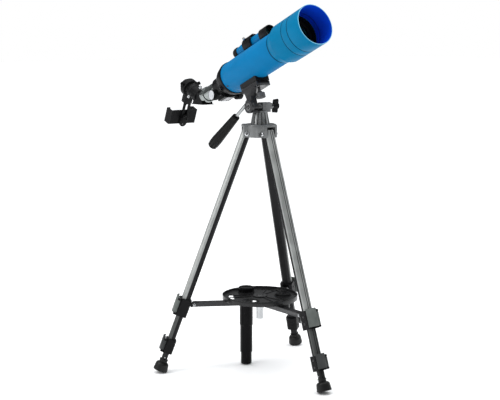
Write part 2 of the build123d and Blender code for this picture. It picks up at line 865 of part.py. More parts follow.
def make_finder_bracket():
    """Stalk and ring that hold the finder, with three adjusting screws in the ring."""
    roll = math.radians(22)
    outward = ACROSS * math.sin(roll) + RISE * math.cos(roll)
    sideways = AIM.cross(outward)
    station = REAR_RIM + AIM * 43
    base = Plane(origin=station, x_dir=sideways, z_dir=AIM)
    with BuildPart() as bracket:
        with BuildSketch(base):
            with Locations((0, -62)):
                Circle(19.0)
                Circle(15.6, mode=Mode.SUBTRACT)
            with Locations((0, -41)):
                Rectangle(16, 9)
        extrude(amount=30)
        with BuildSketch(cross_plane(30)):
            Circle(TUBE_R)
        extrude(amount=60, mode=Mode.SUBTRACT)
        for turn in (-80, 0, 80):
            angle = math.radians(turn)
            toward = outward * math.cos(angle) + sideways * math.sin(angle)
            start = station + AIM * 15 + outward * 62 + toward * 13.2
            with BuildSketch(Plane(origin=start, z_dir=toward)):
                Circle(1.6)
            extrude(amount=9)
            with BuildSketch(Plane(origin=start + toward * 9, z_dir=toward)):
                Circle(3.2)
            extrude(amount=4)
    save(bracket.part, "finder_bracket")


# --- diagonal, eyepiece and phone holder ----------------------------------------------


def make_diagonal():
    """Housing of the 45 degree erecting prism, with its nose barrel and eyepiece socket."""
    with BuildPart() as housing:
        with BuildSketch(side_plane(VERTEX + ACROSS * 15.5, (1, 0, 0))):
            Polygon((-21, -13), (21, -13), (10.5, 14), (-10.5, 14), align=None)
        extrude(amount=31)
        with BuildSketch(side_plane(VERTEX + ACROSS * 16.5, (1, 0, 0))):
            with Locations((0, -13.8)):
                Rectangle(47, 1.8)
        extrude(amount=33)
        with BuildSketch(Plane(origin=VERTEX + AIM * 8, x_dir=ACROSS, z_dir=AIM)):
            Circle(15.4)
        extrude(amount=8)
        with BuildSketch(Plane(origin=VERTEX + AIM * 8, x_dir=ACROSS, z_dir=AIM)):
            Circle(BARREL_R)
        extrude(amount=36)
        with BuildSketch(eye_plane(8)):
            Circle(18.2)
        extrude(amount=30)
        with BuildSketch(side_plane(VERTEX + ACROSS * 12, (1, 0, 0))):
            Polygon((-18, -11), (18, -11), (9, 11.5), (-9, 11.5), align=None)
        extrude(amount=24, mode=Mode.SUBTRACT)
        with BuildSketch(Plane(origin=VERTEX, x_dir=ACROSS, z_dir=AIM)):
            Circle(11)
        extrude(amount=46, mode=Mode.SUBTRACT)
        with BuildSketch(eye_plane(0)):
            Circle(11)
        extrude(amount=20, mode=Mode.SUBTRACT)
        with BuildSketch(eye_plane(16)):
            Circle(BARREL_R + 0.1)
        extrude(amount=24, mode=Mode.SUBTRACT)
    save(housing.part, "diagonal_housing")
    with BuildPart() as prism:
        with BuildSketch(side_plane(VERTEX + ACROSS * 11.8, (1, 0, 0))):
            Polygon((-17.8, -10.8), (17.8, -10.8), (8.9, 11.2), (-8.9, 11.2), align=None)
        extrude(amount=23.6)
    save(prism.part, "erecting_prism")


def make_eyepiece():
    plane = side_plane(VERTEX, EYE)
    eyepiece = turned(
        plane,
        [
            (17, 0),
            (17, BARREL_R),
            (38.2, BARREL_R),
            (38.2, 17.4),
            (48, 17.4),
            (50, 15.0),
            (72, 14.6),
            (74, 16),
            (79, 16),
            (79, 13.5),
            (75, 9),
            (75, 0),
        ],
    )
    save(eyepiece, "eyepiece")


def ring_screw_plane(turn, reach):
    """Across a ring screw, at a distance from the eyepiece axis; turn 0 points along +Y."""
    angle = math.radians(turn)
    toward = ACROSS * math.cos(angle) - DOWN * math.sin(angle)
    return Plane(origin=VERTEX + EYE * 61 + toward * reach, x_dir=EYE, z_dir=toward)


def make_ring_clamp():
    """Ring round the eyepiece with its stem and the slotted arm that carries the phone clamp."""
    with BuildPart() as ring:
        with BuildSketch(eye_plane(53)):
            Circle(22.5)
            with Locations((0, 28)):
                Rectangle(22, 22)
            Circle(17.0, mode=Mode.SUBTRACT)
        extrude(amount=15)
        for turn in RING_SCREW_TURNS:
            with BuildSketch(ring_screw_plane(turn, 14)):
                Circle(1.9)
            extrude(amount=12, mode=Mode.SUBTRACT)
        with BuildSketch(eye_plane(54)):
            with Locations((0, 64)):
                SlotCenterToCenter(60, 20, rotation=90)
            with Locations((0, 65)):
                SlotCenterToCenter(38, 8, rotation=90, mode=Mode.SUBTRACT)
            with Locations((0, 98)):
                Circle(2.2, mode=Mode.SUBTRACT)
        extrude(amount=4.5)
    save(ring.part, "phone_ring")
    with BuildPart() as screws:
        for turn in RING_SCREW_TURNS:
            for reach, length, r in ((15.4, 10, 1.9), (23.4, 6.5, 4.4)):
                with BuildSketch(ring_screw_plane(turn, reach)):
                    Circle(r)
                extrude(amount=length)
    save(screws.part, "ring_screws")


def make_phone_clamp():
    """Back plate with the fixed jaw, its guide for the arm and the clamping knob."""
    reach = 79.0
    with BuildPart() as clamp:
        with BuildSketch(eye_plane(59, 0, reach)):
            Rectangle(72, 37)
        extrude(amount=3)
        with BuildSketch(eye_plane(59, 0, reach)):
            with Locations((34.5, 0)):
                Rectangle(5, 37)
        extrude(amount=20)
        with BuildSketch(eye_plane(76, 0, reach)):
            with Locations((32.5, 0)):
                Rectangle(9, 37)
        extrude(amount=3)
        with BuildSketch(eye_plane(50, 0, reach)):
            Circle(3.3)
        extrude(amount=10)
        with BuildSketch(eye_plane(45.5, 0, reach)):
            Circle(9)
            with PolarLocations(9.3, 16):
                Circle(0.9, mode=Mode.SUBTRACT)
        extrude(amount=8)
    save(clamp.part, "phone_clamp")
    with BuildPart() as jaw:
        with BuildSketch(eye_plane(62.4, 0, reach)):
            with Locations((-26, 0)):
                Rectangle(26, 30)
        extrude(amount=2.6)
        with BuildSketch(eye_plane(59, 0, reach)):
            with Locations((-39.2, 0)):
                Rectangle(5, 37)
        extrude(amount=20)
        with BuildSketch(eye_plane(76, 0, reach)):
            with Locations((-37.2, 0)):
                Rectangle(9, 37)
        extrude(amount=3)
    save(jaw.part, "phone_jaw")


make_shoulder()
make_leg_pivots()
make_collar()
make_legs()
make_brace_arms()
make_tray_hub()
make_tray()
make_tray_accessories()
make_pan_base()
make_tilt_knob()
make_tilt_bracket()
make_mount_screw()
make_handle()
make_saddle()
make_tube()
make_objective()
make_focuser()
make_drawtube()
make_focus_shaft()
make_focus_knobs()
make_finder()
make_finder_bracket()
make_diagonal()
make_eyepiece()
make_ring_clamp()
make_phone_clamp()
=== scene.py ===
import math

import bmesh
import bpy
from mathutils import Matrix, Vector


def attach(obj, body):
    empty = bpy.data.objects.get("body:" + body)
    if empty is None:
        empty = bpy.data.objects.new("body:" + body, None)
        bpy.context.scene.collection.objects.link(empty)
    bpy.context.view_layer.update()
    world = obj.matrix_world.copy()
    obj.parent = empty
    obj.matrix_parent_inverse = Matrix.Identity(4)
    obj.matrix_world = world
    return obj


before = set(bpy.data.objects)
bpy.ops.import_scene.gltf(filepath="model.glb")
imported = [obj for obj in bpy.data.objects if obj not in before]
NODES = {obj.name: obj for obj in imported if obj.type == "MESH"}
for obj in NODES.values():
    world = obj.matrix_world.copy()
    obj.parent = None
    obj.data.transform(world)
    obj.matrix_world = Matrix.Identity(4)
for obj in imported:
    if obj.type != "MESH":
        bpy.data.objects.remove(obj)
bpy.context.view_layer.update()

MM = 0.001

# --- the part's own directions and stations, in the row frame ---------------------------

ALT = math.radians(22.3)
LEAN = math.radians(20.1)
AIM = Vector((math.cos(ALT), 0, math.sin(ALT)))
RISE = Vector((-math.sin(ALT), 0, math.cos(ALT)))
ACROSS = Vector((0, 1, 0))
UP = Vector((0, 0, 1))
EYE = (RISE - AIM) * math.sqrt(0.5)
DOWN = (RISE + AIM) * -math.sqrt(0.5)
TILT_POINT = Vector((0, 0, 619)) * MM
REAR_RIM = TILT_POINT + (RISE * 96.8 - AIM * 61.7) * MM
VERTEX = REAR_RIM - AIM * 151 * MM
TUBE_R = 38.0
HANDLE_SLOPE = math.radians(37.4)
HANDLE_AWAY = Vector((-math.cos(HANDLE_SLOPE), 0, -math.sin(HANDLE_SLOPE)))
HANDLE_START = TILT_POINT + (RISE * 21 - ACROSS * 18.5) * MM
FINDER_ROLL = math.radians(22)
FINDER_OUT = ACROSS * math.sin(FINDER_ROLL) + RISE * math.cos(FINDER_ROLL)
FINDER_SIDE = AIM.cross(FINDER_OUT)
FINDER = REAR_RIM + FINDER_OUT * 62 * MM
FINDER_BLUE = (8.5, 105.0)
HINGE_R = 33
HINGE_Z = 558
LEGS = 3
FLUTES = 14
# lines scribed or parted round the tube: (station, half width)
SEAM_LINES = ((183.2, 2.0), (247.4, 0.8), (268.0, 0.9))
SHIELD_BORE_R = 44.9
SHIELD_INSIDE_S = 240
LIP_S = 310.4
CELL_BORE_R = 43.5
CELL_FRONT_S = 225


def leg_axes(k):
    """Directions down the leg, outward from it and across it."""
    turn = math.radians(120 * k)
    out = Vector((math.cos(turn), math.sin(turn), 0))
    down = out * math.sin(LEAN) - UP * math.cos(LEAN)
    outward = out * math.cos(LEAN) + UP * math.sin(LEAN)
    return down, outward, down.cross(outward)


def leg_point(k, t, out=0.0, across=0.0):
    down, outward, side = leg_axes(k)
    turn = math.radians(120 * k)
    hinge = Vector((HINGE_R * math.cos(turn), HINGE_R * math.sin(turn), HINGE_Z)) * MM
    return hinge + (down * t + outward * out + side * across) * MM


def tube_point(s, rise=0.0, y=0.0):
    return REAR_RIM + (AIM * s + RISE * rise + ACROSS * y) * MM


def eye_point(d, down=0.0, y=0.0):
    return VERTEX + (EYE * d + DOWN * down + ACROSS * y) * MM


# --- material toolkit --------------------------------------------------------------------


class Mat:
    """A node material under construction: every helper returns an output socket."""

    def __init__(self, name):
        self.mat = bpy.data.materials.new(name)
        self.mat.use_nodes = True
        self.tree = self.mat.node_tree
        self.bsdf = self.tree.nodes["Principled BSDF"]
        self.coords = self.add("ShaderNodeTexCoord").outputs["Object"]

    def add(self, kind, **values):
        node = self.tree.nodes.new(kind)
        for key, value in values.items():
            setattr(node, key, value)
        return node

    def link(self, source, target):
        self.tree.links.new(source, target)

    def feed(self, target, value):
        if isinstance(value, bpy.types.NodeSocket):
            self.link(value, target)
        else:
            target.default_value = value

    def math(self, operation, a, b=0.0, clamp=False):
        node = self.add("ShaderNodeMath", operation=operation, use_clamp=clamp)
        self.feed(node.inputs[0], a)
        self.feed(node.inputs[1], b)
        return node.outputs[0]

    def along(self, axis, origin):
        """Distance in metres from origin along axis."""
        node = self.add("ShaderNodeVectorMath", operation="DOT_PRODUCT")
        self.link(self.coords, node.inputs[0])
        node.inputs[1].default_value = axis
        return self.math("SUBTRACT", node.outputs["Value"], axis.dot(origin))

    def step(self, value, edge, soft=0.0002):
        """0 below the edge, 1 above it, with a short soft ramp."""
        node = self.add("ShaderNodeMapRange", interpolation_type="SMOOTHSTEP")
        self.link(value, node.inputs["Value"])
        node.inputs["From Min"].default_value = edge - soft
        node.inputs["From Max"].default_value = edge + soft
        return node.outputs["Result"]

    def band(self, value, low, high, soft=0.0002):
        above = self.step(value, low, soft)
        return self.math("SUBTRACT", above, self.step(value, high, soft), clamp=True)

    def remap(self, value, low, high, out_low, out_high):
        node = self.add("ShaderNodeMapRange")
        self.link(value, node.inputs["Value"])
        for key, number in zip(("From Min", "From Max", "To Min", "To Max"), (low, high, out_low, out_high)):
            node.inputs[key].default_value = number
        return node.outputs["Result"]

    def stretched(self, scale, axis=None, factor=1.0):
        """Object coordinates times scale, and times factor along axis."""
        node = self.add("ShaderNodeVectorMath", operation="SCALE")
        self.link(self.coords, node.inputs[0])
        node.inputs["Scale"].default_value = scale
        if axis is None:
            return node.outputs[0]
        dot = self.add("ShaderNodeVectorMath", operation="DOT_PRODUCT")
        self.link(node.outputs[0], dot.inputs[0])
        dot.inputs[1].default_value = axis
        extra = self.add("ShaderNodeVectorMath", operation="SCALE")
        extra.inputs[0].default_value = axis
        self.link(self.math("MULTIPLY", dot.outputs["Value"], factor - 1), extra.inputs["Scale"])
        total = self.add("ShaderNodeVectorMath", operation="ADD")
        self.link(node.outputs[0], total.inputs[0])
        self.link(extra.outputs[0], total.inputs[1])
        return total.outputs[0]

    def noise(self, scale, detail=3.0, axis=None, factor=1.0, rough=0.5):
        node = self.add("ShaderNodeTexNoise")
        self.link(self.stretched(scale, axis, factor), node.inputs["Vector"])
        node.inputs["Scale"].default_value = 1.0
        node.inputs["Detail"].default_value = detail
        node.inputs["Roughness"].default_value = rough
        return node.outputs["Fac"]

    def cells(self, scale):
        node = self.add("ShaderNodeTexVoronoi")
        self.link(self.stretched(scale), node.inputs["Vector"])
        node.inputs["Scale"].default_value = 1.0
        return node.outputs["Distance"]

    def mix(self, factor, a, b):
        node = self.add("ShaderNodeMix", data_type="RGBA")
        self.feed(node.inputs["Factor"], factor)
        for socket, colour in ((node.inputs["A"], a), (node.inputs["B"], b)):
            self.feed(socket, colour if isinstance(colour, bpy.types.NodeSocket) else (*colour, 1))
        return node.outputs["Result"]

    def mix_value(self, factor, a, b):
        node = self.add("ShaderNodeMix", data_type="FLOAT")
        self.feed(node.inputs["Factor"], factor)
        self.feed(node.inputs["A"], a)
        self.feed(node.inputs["B"], b)
        return node.outputs["Result"]

    def convex_edges(self):
        """1 on convex edges, from the mesh's pointiness."""
        geometry = self.add("ShaderNodeNewGeometry")
        return self.step(geometry.outputs["Pointiness"], 0.56, 0.04)

    def bump(self, height, strength, distance, under=None):
        node = self.add("ShaderNodeBump")
        node.inputs["Strength"].default_value = strength
        node.inputs["Distance"].default_value = distance
        self.link(height, node.inputs["Height"])
        if under is not None:
            self.link(under, node.inputs["Normal"])
        return node.outputs["Normal"]

    def done(self, colour, rough, normal=None, metallic=0.0, coat=0.0, coat_rough=0.1, level=0.5):
        shader = self.bsdf.inputs
        self.feed(shader["Base Color"], colour if isinstance(colour, bpy.types.NodeSocket) else (*colour, 1))
        self.feed(shader["Roughness"], rough)
        self.feed(shader["Metallic"], metallic)
        shader["Coat Weight"].default_value = coat
        shader["Coat Roughness"].default_value = coat_rough
        shader["Specular IOR Level"].default_value = level
        if normal is not None:
            self.link(normal, shader["Normal"])
        return self.mat


def scaled(colour, factor):
    return tuple(min(1.0, c * factor) for c in colour)


def plastic(name, colour, rough=0.42, grain=900.0, depth=0.00012, level=0.09, wear_and_highlight=0.26):
    """Moulded plastic: fine spark-eroded texture, uneven sheen, paler edges that are partly rubbed wear and
    partly a painted highlight.
    """
    m = Mat(name)
    cloud = m.noise(38, 3)
    tone = m.mix(m.remap(cloud, 0.35, 0.65, 0, 1), scaled(colour, 0.82), scaled(colour, 1.22))
    pale = tuple(c * 0.6 + 0.05 for c in colour)
    # paler convex edges: partly rubbed wear, partly a painted highlight
    tone = m.mix(m.math("MULTIPLY", m.convex_edges(), wear_and_highlight), tone, pale)
    speckle = m.noise(grain, 2)
    sheen = m.remap(cloud, 0.3, 0.7, rough - 0.06, rough + 0.08)
    sheen = m.math("ADD", sheen, m.remap(speckle, 0, 1, -0.04, 0.04))
    return m.done(tone, sheen, m.bump(speckle, 0.45, depth), level=level)


def metal(name, colour, rough=0.22, axis=None, metallic=1.0, wear_and_highlight=0.0):
    """Plated or machined metal, with a drawn grain along axis if it has one."""
    m = Mat(name)
    cloud = m.noise(55, 3)
    grain = m.noise(1500, 2, axis, 0.03) if axis is not None else m.noise(1300, 2)
    tone = m.mix(m.remap(cloud, 0.35, 0.65, 0, 1), scaled(colour, 0.9), scaled(colour, 1.06))
    if wear_and_highlight:
        tone = m.mix(m.math("MULTIPLY", m.convex_edges(), wear_and_highlight), tone, (0.6, 0.6, 0.6))
    sheen = m.remap(cloud, 0.3, 0.7, rough * 0.8, rough * 1.3)
    sheen = m.math("ADD", sheen, m.remap(grain, 0.3, 0.7, -0.03, 0.05))
    return m.done(tone, sheen, m.bump(grain, 0.25, 0.00004), metallic)


def casting(name, colour, rough=0.4, dark=None, flutes=0):
    """Painted die casting: hammered lacquer with metal flake.

    dark = (axis, origin, edge) paints one side black as shade; flutes paints shade into that many grooves
    about the z axis.
    """
    m = Mat(name)
    cloud = m.noise(45, 4)
    flake = m.noise(2600, 1)
    tone = m.mix(m.remap(cloud, 0.35, 0.65, 0, 1), scaled(colour, 0.8), scaled(colour, 1.2))
    tone = m.mix(m.math("MULTIPLY", m.step(flake, 0.62, 0.05), 0.35), tone, scaled(colour, 2.0))
    # painted shade: the side below the edge is black
    if dark:
        axis, origin, edge = dark
        side = m.step(m.along(axis, origin), edge * MM, 0.0004)
        tone = m.mix(side, SHADE_SIDE_BLACK, tone)
    # painted shade: the flute grooves are darkened
    if flutes:
        turn = m.math("ARCTAN2", m.along(ACROSS, Vector()), m.along(Vector((1, 0, 0)), Vector()))
        groove = m.step(m.math("COSINE", m.math("MULTIPLY", turn, flutes)), 0.45, 0.45)
        tone = m.mix(groove, tone, scaled(colour, 0.22))
    tone = m.mix(m.math("MULTIPLY", m.convex_edges(), 0.3), tone, scaled(colour, 1.9))
    normal = m.bump(flake, 0.3, 0.00005, m.bump(cloud, 0.25, 0.0005))
    return m.done(tone, m.remap(cloud, 0.3, 0.7, rough - 0.07, rough + 0.1), normal, 0.45)


BLUE = (0.0, 0.136, 0.325)
SHIELD_BLUE = (0.0, 0.142, 0.292)
DEEP_BLUE = (0.001, 0.05, 0.58)
# lighter blue painted on the shield's front lip as a highlight
LIP_HIGHLIGHT = (0.25, 0.62, 0.80)
RUBBED_BLUE = (0.08, 0.34, 0.58)
SEAM_BLACK = (0.0, 0.006, 0.012)
# black painted as shade on the shaded side of the head castings
SHADE_SIDE_BLACK = (0.016, 0.016, 0.018)


def blue_paint(name, base=BLUE, inside=False, mouth=False):
    """Satin blue lacquer with a faint orange peel; the inside of the shield is a deeper blue."""
    m = Mat(name)
    cloud = m.noise(16, 3)
    peel = m.noise(420, 2)
    tone = m.mix(m.remap(cloud, 0.35, 0.65, 0, 1), scaled(base, 0.93), scaled(base, 1.07))
    rough = m.remap(cloud, 0.3, 0.7, 0.34, 0.44)
    if inside:
        radius = radial_distance(m, AIM, REAR_RIM)
        # the bore of the shield is painted too
        bore = m.math("SUBTRACT", 1.0, m.step(radius, SHIELD_BORE_R * MM, 0.0002))
        bore = m.math("MULTIPLY", bore, m.step(m.along(AIM, REAR_RIM), SHIELD_INSIDE_S * MM))
        tone = m.mix(bore, tone, DEEP_BLUE)
        # painted highlight: lighter edge on the front lip
        lip = m.math("MULTIPLY", m.step(m.along(AIM, REAR_RIM), LIP_S * MM, 0.0003), 0.75)
        tone = m.mix(lip, tone, LIP_HIGHLIGHT)
    tone = m.mix(m.math("MULTIPLY", m.convex_edges(), 0.2), tone, RUBBED_BLUE)
    speck = m.step(m.cells(260), 0.06, 0.01)
    tone = m.mix(m.math("SUBTRACT", 1.0, speck), tone, scaled(base, 1.25))
    station = m.along(AIM, REAR_RIM)
    outside = m.step(radial_distance(m, AIM, REAR_RIM), (TUBE_R - 1) * MM)
    for centre, half in SEAM_LINES:
        line = m.band(station, (centre - half) * MM, (centre + half) * MM, 0.00015)
        line = m.math("MULTIPLY", line, outside)
        tone = m.mix(m.math("MULTIPLY", line, 0.93), tone, SEAM_BLACK)
    if mouth:
        hidden = m.math("SUBTRACT", 1.0, m.step(radial_distance(m, AIM, REAR_RIM), CELL_BORE_R * MM))
        hidden = m.math("MULTIPLY", hidden, m.step(station, CELL_FRONT_S * MM))
        tone = m.mix(hidden, tone, (0.006, 0.006, 0.007))
        rough = m.mix_value(hidden, rough, 0.75)
    return m.done(tone, rough, m.bump(peel, 0.12, 0.00015), coat=0.0, level=0.035)


def radial_distance(m, axis, origin):
    """Distance in metres from the line through origin along axis."""
    offset = m.add("ShaderNodeVectorMath", operation="SUBTRACT")
    m.link(m.coords, offset.inputs[0])
    offset.inputs[1].default_value = origin
    cross = m.add("ShaderNodeVectorMath", operation="CROSS_PRODUCT")
    m.link(offset.outputs[0], cross.inputs[0])
    cross.inputs[1].default_value = axis
    length = m.add("ShaderNodeVectorMath", operation="LENGTH")
    m.link(cross.outputs[0], length.inputs[0])
    return length.outputs["Value"]


def leg_metal(name, k, light, depth, groove=True):
    """Anodised leg section: lighter outer half with the inner half painted black as shade, grooves painted
    black as shade, drawn lines along it.
    """
    m = Mat(name)
    down, outward, side = leg_axes(k)
    origin = leg_point(k, 0)
    out = m.along(outward, origin)
    drawn = m.noise(1700, 2, down, 0.02)
    cloud = m.noise(30, 3)
    tone = m.mix(m.remap(cloud, 0.35, 0.65, 0, 1), scaled(light, 0.86), scaled(light, 1.12))
    tone = m.mix(m.remap(drawn, 0.35, 0.65, 0, 0.25), tone, scaled(light, 1.5))
    # painted shade: black on the inner half, the lighter tone stays on the outer half
    tone = m.mix(m.step(out, 0.001, 0.0004), (0.012, 0.012, 0.013), tone)
    if groove:
        across = m.add("ShaderNodeMath", operation="ABSOLUTE")
        m.link(m.along(side, origin), across.inputs[0])
        # painted shade in the grooves
        lines = m.band(across.outputs[0], 1.7 * MM, 3.3 * MM)
        lines = m.math("MULTIPLY", lines, m.step(out, (depth / 2 - 1.6) * MM))
        tone = m.mix(lines, tone, (0.008, 0.008, 0.008))
    rough = m.math("ADD", m.remap(cloud, 0.3, 0.7, 0.38, 0.5), m.remap(drawn, 0.3, 0.7, -0.04, 0.06))
    return m.done(tone, rough, m.bump(drawn, 0.2, 0.00004), 0.75)


def glass(name, tint, coating_reflection_tint):
    """Coated optical glass seen against a dark interior: dark body, painted as the shade of the interior
    behind it; mirror-like coating, whose coloured reflection is also painted in towards grazing angles.
    """
    m = Mat(name)
    layer = m.add("ShaderNodeLayerWeight")
    layer.inputs["Blend"].default_value = 0.35
    wide = m.noise(70, 1)
    # painted reflection: the coating's colour comes in towards grazing angles
    tone = m.mix(layer.outputs["Facing"], tint, coating_reflection_tint)
    tone = m.mix(m.remap(wide, 0.3, 0.7, 0, 0.25), tone, scaled(coating_reflection_tint, 0.5))
    rough = m.remap(m.noise(900, 2), 0, 1, 0.02, 0.07)
    return m.done(tone, rough, metallic=0.15, coat=1.0, coat_rough=0.03)


# --- mesh toolkit ------------------------------------------------------------------------


def frame_matrix(origin, axis, side=None):
    """Matrix whose z runs along axis; x lies towards side."""
    z = Vector(axis).normalized()
    guess = Vector(side) if side is not None else (UP if abs(z.z) < 0.9 else Vector((1, 0, 0)))
    x = (guess - z * guess.dot(z)).normalized()
    y = z.cross(x)
    return Matrix.Translation(origin) @ Matrix((x, y, z)).transposed().to_4x4()


def publish(name, bm, matrix, mats, body, smooth=40):
    """Turns a bmesh in millimetres into a piece that rides on a body. It is given in the row frame."""
    bmesh.ops.remove_doubles(bm, verts=bm.verts, dist=1e-4)
    bmesh.ops.recalc_face_normals(bm, faces=bm.faces)
    bm.transform(matrix @ Matrix.Scale(MM, 4))
    mesh = bpy.data.meshes.new(name)
    bm.to_mesh(mesh)
    bm.free()
    for polygon in mesh.polygons:
        polygon.use_smooth = True
    mesh.set_sharp_from_angle(angle=math.radians(smooth))
    for mat in mats if isinstance(mats, (list, tuple)) else [mats]:
        mesh.materials.append(mat)
    obj = bpy.data.objects.new(name, mesh)
    bpy.context.scene.collection.objects.link(obj)
    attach(obj, body)
    return obj


def on_circle(radius, angle, z):
    return Vector((radius * math.cos(angle), radius * math.sin(angle), z))


def lathe_into(bm, profile, segments=48, matrix=Matrix.Identity(4), wave=None, closed=True):
    """Adds a turned shape: profile is (z, r) pairs. wave(angle, z, r) may change the radius."""
    rings = []
    for z, r in profile:
        ring = []
        for i in range(segments):
            angle = 2 * math.pi * i / segments
            radius = wave(angle, z, r) if wave else r
            ring.append(bm.verts.new(matrix @ on_circle(radius, angle, z)))
        rings.append(ring)
    for low, high in zip(rings, rings[1:]):
        for i in range(segments):
            j = (i + 1) % segments
            bm.faces.new((low[i], low[j], high[j], high[i]))
    if closed:
        bm.faces.new(list(reversed(rings[0])))
        bm.faces.new(rings[-1])


def lathe(name, profile, origin, axis, mats, body, segments=48, wave=None, closed=True):
    bm = bmesh.new()
    lathe_into(bm, profile, segments, wave=wave, closed=closed)
    return publish(name, bm, frame_matrix(origin, axis), mats, body)


def ring_profile(z0, z1, inner, outer, edge=0.4):
    """Closed section of a washer or band with softened outer corners."""
    return [
        (z0, inner), (z0, outer - edge), (z0 + edge, outer),
        (z1 - edge, outer), (z1, outer - edge), (z1, inner), (z0, inner),
    ]


def band(name, z0, z1, inner, outer, origin, axis, mats, body, segments=64, edge=0.4, wave=None):
    profile = ring_profile(z0, z1, inner, outer, edge)
    return lathe(name, profile, origin, axis, mats, body, segments, wave, closed=False)


def screw_into(bm, matrix, r, height, recess="cross"):
    """Adds a pan-head screw standing on z = 0, with a real cross, slot or hexagon recess."""
    segments = 24
    angles = [2 * math.pi * i / segments for i in range(segments)]
    rings = []
    for high, wide in ((0, 0.96), (0.35, 1), (0.7, 0.93), (0.93, 0.72), (1, 0.5)):
        rings.append([bm.verts.new(matrix @ on_circle(r * wide, a, height * high)) for a in angles])
    for low, high in zip(rings, rings[1:]):
        for i in range(segments):
            j = (i + 1) % segments
            bm.faces.new((low[i], low[j], high[j], high[i]))
    bm.faces.new(list(reversed(rings[0])))

    def inner_radius(a):
        if recess == "hex":
            sector = math.pi / 3
            return r * 0.42 / math.cos((a % sector) - sector / 2)
        if recess == "slot":
            return min(r * 0.49, r * 0.11 / max(1e-3, abs(math.sin(a))))
        fold = a % (math.pi / 2)
        return min(r * 0.44, r * 0.10 / max(1e-3, min(math.sin(fold), math.cos(fold))))

    top = [bm.verts.new(matrix @ on_circle(inner_radius(a), a, height)) for a in angles]
    bottom = [bm.verts.new(matrix @ on_circle(inner_radius(a) * 0.9, a, height * 0.35)) for a in angles]
    for low, high, mat_index in ((rings[-1], top, 0), (top, bottom, 1)):
        for i in range(segments):
            j = (i + 1) % segments
            bm.faces.new((low[i], low[j], high[j], high[i])).material_index = mat_index
    bm.faces.new(bottom).material_index = 1


def screws(name, places, r, height, mats, body, recess="cross"):
    """One piece of several screws: places is (origin, axis) pairs."""
    bm = bmesh.new()
    for origin, axis in places:
        local = frame_matrix(Vector(origin) / MM, axis)
        screw_into(bm, local, r, height, recess)
    return publish(name, bm, Matrix.Identity(4), [mats, matt_inside], body)


def block_into(bm, matrix, sx, sy, sz, edge=0.5):
    """Adds a bevelled block standing on z = 0."""
    made = bmesh.ops.create_cube(bm, size=1.0)["verts"]
    for v in made:
        v.co = Vector((v.co.x * sx, v.co.y * sy, (v.co.z + 0.5) * sz))
    edges = list({e for v in made for e in v.link_edges})
    done = bmesh.ops.bevel(bm, geom=edges, offset=edge, segments=2, profile=0.7, affect="EDGES")
    verts = {v for f in done["faces"] for v in f.verts} | {v for v in made if v.is_valid}
    for v in verts:
        v.co = matrix @ v.co


def blocks(name, places, mats, body, edge=0.5):
    """One piece of bevelled blocks: places is (origin, z axis, x axis, size)."""
    bm = bmesh.new()
    for origin, axis, side, (sx, sy, sz) in places:
        part = bmesh.new()
        block_into(part, frame_matrix(Vector(origin) / MM, axis, side), sx, sy, sz, edge)
        mesh = bpy.data.meshes.new("part")
        part.to_mesh(mesh)
        part.free()
        bm.from_mesh(mesh)
        bpy.data.meshes.remove(mesh)
    return publish(name, bm, Matrix.Identity(4), mats, body)


# --- materials ---------------------------------------------------------------------------

BLACK = (0.0055, 0.0055, 0.006)
black = plastic("black_moulded", BLACK)
black_fine = plastic("black_fine", (0.0045, 0.0045, 0.005), rough=0.3, grain=1600, depth=0.00006)
black_gloss = plastic("black_gloss", (0.003, 0.003, 0.0035), rough=0.13, grain=500, depth=0.00002, level=0.08)
rubber = plastic("foot_rubber", (0.006, 0.006, 0.006), rough=0.42, grain=700, depth=0.0002, level=0.26)
grip_rubber = plastic("grip_rubber", (0.008, 0.008, 0.008), rough=0.42, grain=1100, depth=0.0002)
foam = plastic("jaw_foam", (0.022, 0.022, 0.024), rough=0.85, grain=1300, depth=0.0005, level=0.2)
lever_grey = plastic("lever_grey", (0.10, 0.11, 0.104), rough=0.36, grain=1200, depth=0.00005)
lever_dark = plastic("lever_dark", (0.040, 0.042, 0.042), rough=0.36, grain=1200, depth=0.00005)
disc_silver = plastic("disc_silver", (0.44, 0.45, 0.47), rough=0.33, grain=1500, depth=0.00003)
chrome = metal("chrome", (0.52, 0.53, 0.54), 0.16)
chrome_tube = metal("chrome_tube", (0.27, 0.29, 0.285), 0.16, AIM)
chrome_rod = metal("chrome_rod", (0.36, 0.37, 0.37), 0.2, HANDLE_AWAY)
steel = metal("steel", (0.26, 0.26, 0.27), 0.28)
black_metal = metal("black_metal", (0.020, 0.020, 0.022), 0.33, metallic=0.5, wear_and_highlight=0.25)
shoulder_grey = casting("shoulder_grey", (0.13, 0.134, 0.134), 0.3)
collar_grey = casting("collar_grey", (0.20, 0.205, 0.205), 0.27, flutes=FLUTES)
# the bracket and tilt castings get painted shade: black on the side toward -y
bracket_grey = casting("bracket_grey", (0.13, 0.132, 0.133), 0.3, dark=(ACROSS, TILT_POINT, -9.5))
tilt_grey = casting("tilt_grey", (0.045, 0.046, 0.047), 0.34, dark=(ACROSS, TILT_POINT, -9.5))
wheel_grey = casting("wheel_grey", (0.085, 0.087, 0.09), 0.4)
tube_blue = blue_paint("tube_blue")
cell_blue = blue_paint("cell_blue", SHIELD_BLUE, mouth=True)
shield_blue = blue_paint("shield_blue", SHIELD_BLUE, inside=True)
lens_glass = glass("lens_glass", (0.004, 0.010, 0.014), (0.03, 0.10, 0.09))
prism_glass = glass("prism_glass", (0.10, 0.13, 0.13), (0.25, 0.30, 0.28))
tray_black = plastic("tray_black", (0.007, 0.007, 0.0075), rough=0.26, level=0.3)
matt_inside = plastic("matt_inside", (0.005, 0.005, 0.005), rough=0.8, grain=600, depth=0.0001, level=0.15)


